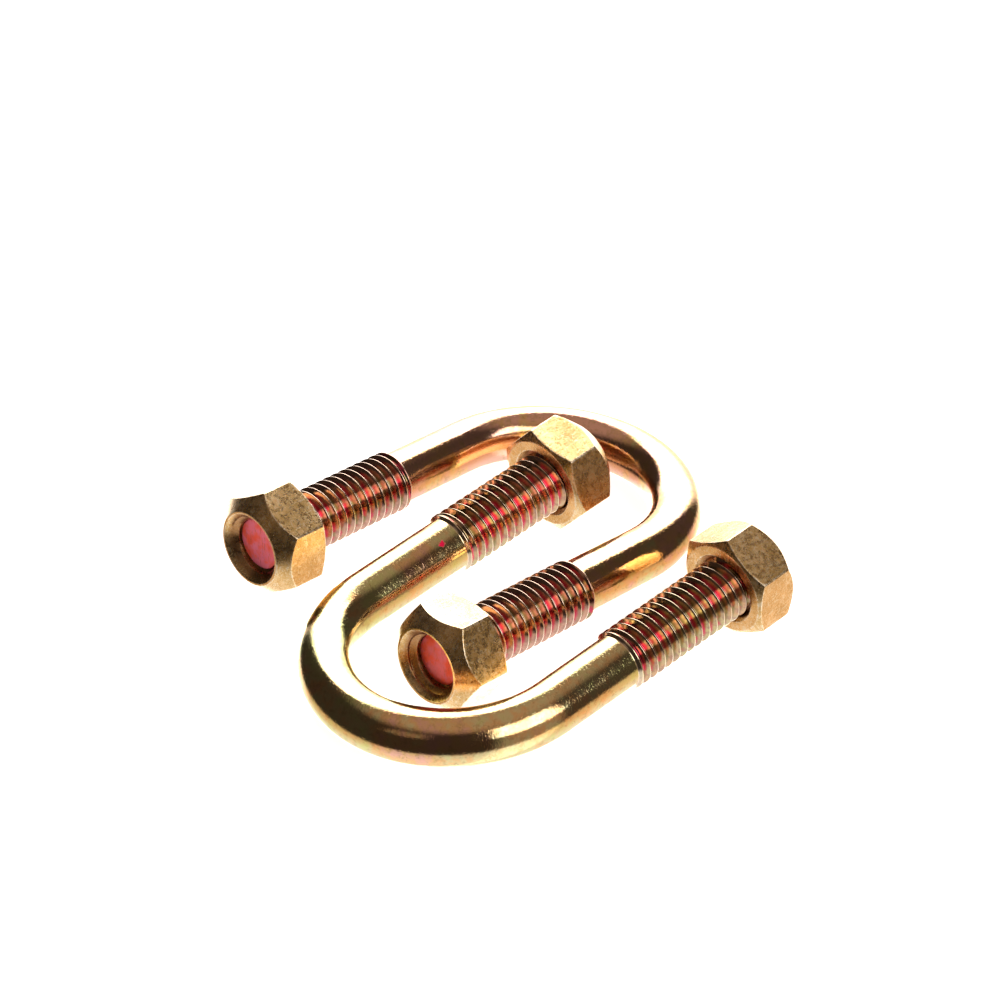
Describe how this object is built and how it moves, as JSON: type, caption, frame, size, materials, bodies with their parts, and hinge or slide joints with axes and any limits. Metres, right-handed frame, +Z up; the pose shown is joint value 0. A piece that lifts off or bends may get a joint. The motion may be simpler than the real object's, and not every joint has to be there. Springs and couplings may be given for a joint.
{
  "type": "nested u-bolts with lock nuts",
  "caption": "Nested yellow-zinc steel U-bolts with round bends and rolled leg threads, carrying conical hex lock nuts, for clamping pipe, tube or cable.",
  "frame": {"origin": "middle of the bottom of the box around both U-bolts and their nuts, on the surface that they lie on", "axes": "+X along the legs, from the near U-bolt's bend to the far one's; +Y across the legs; +Z up"},
  "size_m": [0.0974, 0.0834, 0.0205],
  "materials": {
    "yellow_zinc_rod": "bright yellow chromate over zinc plate",
    "yellow_zinc_nut": "mottled yellow chromate over zinc plate"
  },
  "bodies": {
    "near_u_bolt": {"near_u_bolt": "yellow_zinc_rod"},
    "far_u_bolt": {"far_u_bolt": "yellow_zinc_rod"},
    "near_left_collar": {"near_left_collar": "yellow_zinc_nut"},
    "near_left_nut": {"near_left_nut": "yellow_zinc_nut"},
    "near_right_collar": {"near_right_collar": "yellow_zinc_nut"},
    "near_right_nut": {"near_right_nut": "yellow_zinc_nut"},
    "far_left_collar": {"far_left_collar": "yellow_zinc_nut"},
    "far_left_nut": {"far_left_nut": "yellow_zinc_nut"},
    "far_right_collar": {"far_right_collar": "yellow_zinc_nut"},
    "far_right_nut": {"far_right_nut": "yellow_zinc_nut"}
  },
  "joints": [
    {"name": "far_u_bolt_lift", "type": "slide", "parent": "near_u_bolt", "child": "far_u_bolt", "axis": [0, 0, 1], "range_m": [0, 0.08]},
    {"name": "near_left_travel", "type": "slide", "parent": "near_u_bolt", "child": "near_left_collar", "axis": [0.9973, 0, 0.0739], "range_m": [-0.02177, 0.00363]},
    {"name": "near_left_turn", "type": "hinge", "parent": "near_left_collar", "child": "near_left_nut", "pos_m": [0.02116, 0.01221, 0.00953], "axis": [0.9973, 0, 0.0739], "range_deg": [-4330, 730]},
    {"name": "near_right_travel", "type": "slide", "parent": "near_u_bolt", "child": "near_right_collar", "axis": [0.9973, 0, 0.0739], "range_m": [-0.02359, 0.00544]},
    {"name": "near_right_turn", "type": "hinge", "parent": "near_right_collar", "child": "near_right_nut", "pos_m": [0.01972, -0.03265, 0.00996], "axis": [0.9973, 0, 0.0739], "range_deg": [-4690, 1090]},
    {"name": "far_left_travel", "type": "slide", "parent": "far_u_bolt", "child": "far_left_collar", "axis": [-0.9978, 0, 0.0665], "range_m": [-0.02177, 0.00544]},
    {"name": "far_left_turn", "type": "hinge", "parent": "far_left_collar", "child": "far_left_nut", "pos_m": [-0.01954, 0.03286, 0.00999], "axis": [-0.9978, 0, 0.0665], "range_deg": [-4330, 1090]},
    {"name": "far_right_travel", "type": "slide", "parent": "far_u_bolt", "child": "far_right_collar", "axis": [-0.9978, 0, 0.0665], "range_m": [-0.02359, 0.00363]},
    {"name": "far_right_turn", "type": "hinge", "parent": "far_right_collar", "child": "far_right_nut", "pos_m": [-0.02032, -0.01198, 0.00871], "axis": [-0.9978, 0, 0.0665], "range_deg": [-4690, 730]}
  ],
  "couplings": [
    {"joint": "near_left_turn", "follows": "near_left_travel", "rad_per_m": 3463.2},
    {"joint": "near_right_turn", "follows": "near_right_travel", "rad_per_m": 3463.2},
    {"joint": "far_left_turn", "follows": "far_left_travel", "rad_per_m": 3463.2},
    {"joint": "far_right_turn", "follows": "far_right_travel", "rad_per_m": 3463.2}
  ]
}
